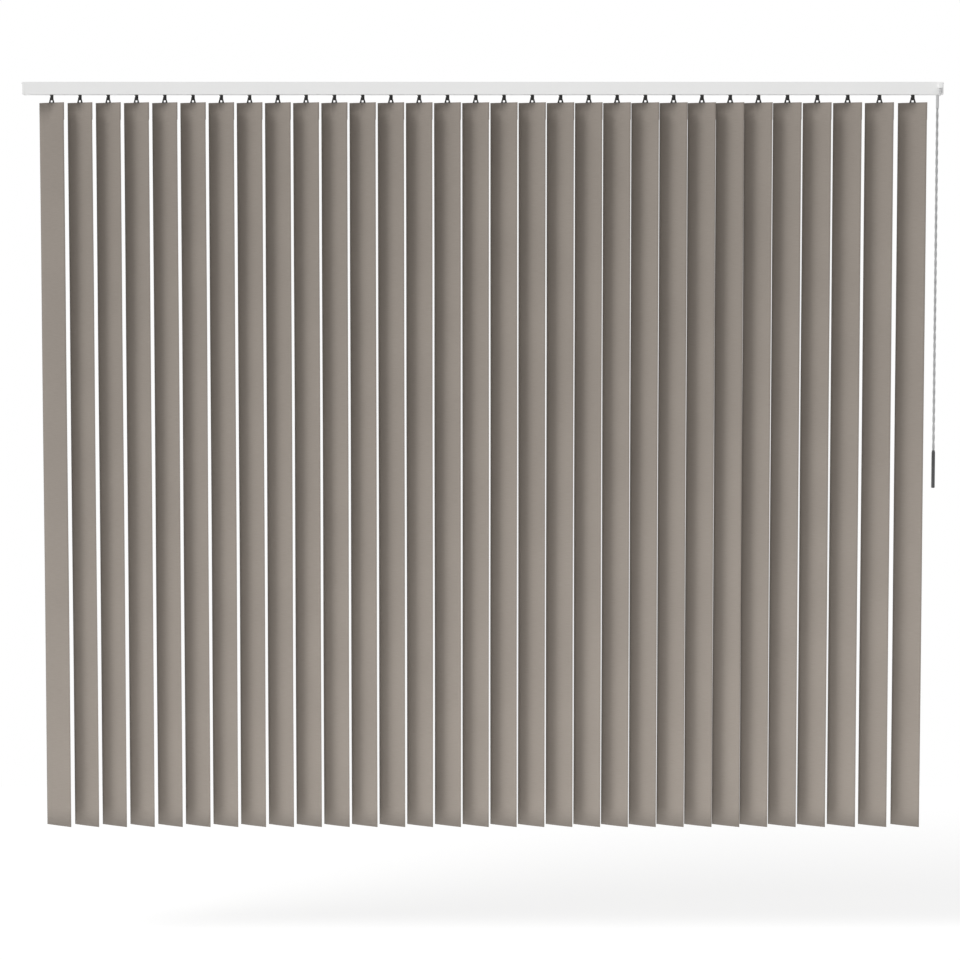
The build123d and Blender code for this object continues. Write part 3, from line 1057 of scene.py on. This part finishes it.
@dataclass
class Screws:
    """The four pan-head screws that hold the end caps, each with a sunk drive in its head."""

    finish: bpy.types.Material
    # Where the heads sit.
    ends: float = 1300 * MM
    port_y: float = 19.5 * MM
    port_drop: float = 4 * MM
    # The head, its dome's rim as a share of its height, and its sunk drive.
    head_radius: float = 2.2 * MM
    head_height: float = 1.2 * MM
    head_rim: float = 0.35
    dome_steps: int = 6
    drive_depth: float = 0.7 * MM
    drive_share: float = 0.45
    # The shank, with its thread's root and crest as shares of its radius and pitch.
    shank_radius: float = 1.25 * MM
    length: float = 26 * MM
    thread_pitch: float = 0.9 * MM
    thread_root: float = 0.82
    thread_crest: float = 0.45
    tip_turns: int = 2

    def one(self) -> bpy.types.Mesh:
        """Make one screw along Z, head up.

        Returns:
            Its mesh, with the head's seat at the origin.
        """
        angles = [k * math.pi / 2 / self.dome_steps for k in range(self.dome_steps)]
        dome = [(self.head_radius * math.cos(a),
                 self.head_height * (self.head_rim + (1 - self.head_rim) * math.sin(a)))
                for a in reversed(angles)]
        mouth, floor = self.drive_share * self.head_radius, self.head_height - self.drive_depth
        drive = [(0, floor), (mouth / 2, floor), (mouth, self.head_height)]
        threads = round(self.length / self.thread_pitch) - self.tip_turns
        root = self.shank_radius * self.thread_root
        shank = []
        for k in range(threads):
            z = -k * self.thread_pitch
            shank += [(root, z), (self.shank_radius, z - self.thread_crest * self.thread_pitch)]
        tip = [(root, -threads * self.thread_pitch), (0, -self.length)]
        return turned(drive + dome + [(self.head_radius, 0)] + shank + tip)

    def build(self) -> list[bpy.types.Object]:
        """Drive the screws into both ends.

        Returns:
            The one piece that holds all four.
        """
        placed = []
        for end in (-1, 1):
            for side in (-1, 1):
                mesh = self.one()
                mesh.transform(Matrix.Rotation(math.radians(90) * end, 4, "Y"))
                mesh.transform(Matrix.Translation(
                    (end * self.ends, side * self.port_y, -self.port_drop)))
                placed.append(mesh)
        piece = new_piece("cap_screws", joined(placed), self.finish)
        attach(piece, "rail")
        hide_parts("end_cap_screws")
        return [piece]


@dataclass
class Rail:
    """The head rail with everything in it, apart from the screws."""

    finishes: Finishes
    nodes: dict[str, bpy.types.Object]

    def build(self) -> list[bpy.types.Object]:
        """Dress the rail's nodes.

        Returns:
            Their objects.
        """
        look = self.finishes
        plan = [("head_rail", look.rail, 0.35 * MM),
                ("idle_end_cap", look.cap, 0.3 * MM),
                ("control_end_cap", look.cap, 0.3 * MM),
                ("gear_case", look.gear_case, 0.3 * MM),
                ("rod_bush", look.bush, 0.2 * MM),
                ("ceiling_clips", look.zinc, 0.3 * MM),
                ("tilt_rod", look.rod, 0.2 * MM),
                ("fixed_carriers", look.carrier, 0.25 * MM)]
        plan += [(name, look.carrier, 0.25 * MM) for name in self.nodes
                 if name.startswith("carrier_")]
        return [soften(self.nodes[name], finish, edge) for name, finish, edge in plan]


@dataclass
class Studio:
    """The plain white studio: its floor, its light and the camera."""

    # The camera, from the photograph's frame of 960 pixels; angles are in degrees.
    eye: Triple = (-0.0078, -8.36, -0.498)
    pitch: float = 4.31
    focal_pixels: float = 2934.0
    picture_pixels: float = 960.0
    sensor_width: float = 36.0
    # The lamps, and the even light of the room.
    key_azimuth: float = 57.0
    key_elevation: float = 44.0
    key_distance: float = 5.0
    key_width: float = 26.0
    key_strength: float = 1.45
    fill_length: float = 4.4
    fill_height: float = 0.3
    fill_rise: float = 0.18
    fill_distance: float = 1.6
    fill_power: float = 13.5
    ambient: float = 0.61
    # The floor: what it gives back to the light, and what the camera sees of it.
    floor_height: float = -2.45
    floor_length: float = 7.2
    floor_depth: float = 4.8
    floor_colour: float = 0.79
    floor_shade: float = 0.35
    floor_glow: float = 0.7

    def camera(self) -> None:
        """Set up the camera at the photograph's viewpoint."""
        lens = bpy.data.cameras.new("camera")
        lens.sensor_width = self.sensor_width
        lens.lens = self.focal_pixels / self.picture_pixels * self.sensor_width
        camera = linked("camera", lens)
        camera.location = self.eye
        camera.rotation_euler = (math.radians(90 - self.pitch), 0, 0)
        bpy.context.scene.camera = camera

    def key(self) -> None:
        """Hang the broad soft lamp, high on the left of the camera."""
        light = bpy.data.lights.new("key", "SUN")
        light.energy = self.key_strength
        light.angle = math.radians(self.key_width)
        side, up = math.radians(self.key_azimuth), math.radians(self.key_elevation)
        away = Vector((-math.sin(side) * math.cos(up), -math.cos(side) * math.cos(up),
                       math.sin(up)))
        lamp = linked("key", light)
        lamp.location = away * self.key_distance
        lamp.rotation_mode = "QUATERNION"
        lamp.rotation_quaternion = away.to_track_quat("Z", "Y")

    def fill(self) -> None:
        """Stand the long low lamp in front, which lifts the slats towards their lower edges."""
        light = bpy.data.lights.new("fill", "AREA")
        light.shape = "RECTANGLE"
        light.size = self.fill_length
        light.size_y = self.fill_height
        light.energy = self.fill_power
        lamp = linked("fill", light)
        lamp.location = (0, -self.fill_distance, self.floor_height + self.fill_rise)
        lamp.rotation_euler = (math.radians(90), 0, 0)
        lamp.visible_camera = False

    def world(self) -> None:
        """Fill the room with even light, and show plain white behind the blind."""
        world = bpy.data.worlds.new("studio")
        tree = Shading(world)
        light, white = (tree.node("ShaderNodeBackground", {},
                                  {"Color": (1.0, 1.0, 1.0), "Strength": strength})
                        for strength in (self.ambient, 1.0))
        shown = tree.node("ShaderNodeMixShader", {}, {0: tree.seen(), 1: light, 2: white})
        tree.node("ShaderNodeOutputWorld", {}, {"Surface": shown})
        bpy.context.scene.world = world

    def floor(self) -> bpy.types.Object:
        """Lay the pale floor, which shows white where nothing shades it.

        Returns:
            The floor.
        """
        work = bmesh.new()
        bmesh.ops.create_grid(work, x_segments=1, y_segments=1, size=0.5)
        bmesh.ops.scale(work, vec=(self.floor_length, self.floor_depth, 1.0), verts=work.verts)
        tree = shading("floor_white")
        seen = tree.seen()
        white = tree.surface(
            Base_Color=seen.between((self.floor_colour,) * 3, (self.floor_shade,) * 3),
            Emission_Color=seen.between((0.0, 0.0, 0.0), (1.0, 1.0, 1.0)),
            Emission_Strength=self.floor_glow, Roughness=0.9, Specular_IOR_Level=0.0)
        floor = new_piece("floor", mesh_of(work, "floor"), white)
        floor.location = (0, 0, self.floor_height)
        return floor

    def build(self) -> list[bpy.types.Object]:
        """Set up the room, the lamps and the camera.

        Returns:
            The floor, which is the only thing here that shows.
        """
        bpy.context.scene.view_settings.view_transform = "Standard"
        self.world()
        self.key()
        self.fill()
        self.camera()
        return [self.floor()]


def main() -> None:
    """Load the frame and dress the whole blind, from the studio to the wand."""
    logging.basicConfig(level=logging.INFO, format="%(name)s: %(message)s")
    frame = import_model()
    finishes = Finishes()
    parts = (Studio(), Rail(finishes, frame["nodes"]), Screws(finishes.screw),
             Curtain(Row(frame), finishes), Wand(finishes, frame["nodes"]))
    for part in parts:
        for piece in part.build():
            LOG.info("%s: %s in %s", type(part).__name__, piece.name, piece.data.materials[0].name)


if __name__ == "__main__":
    main()
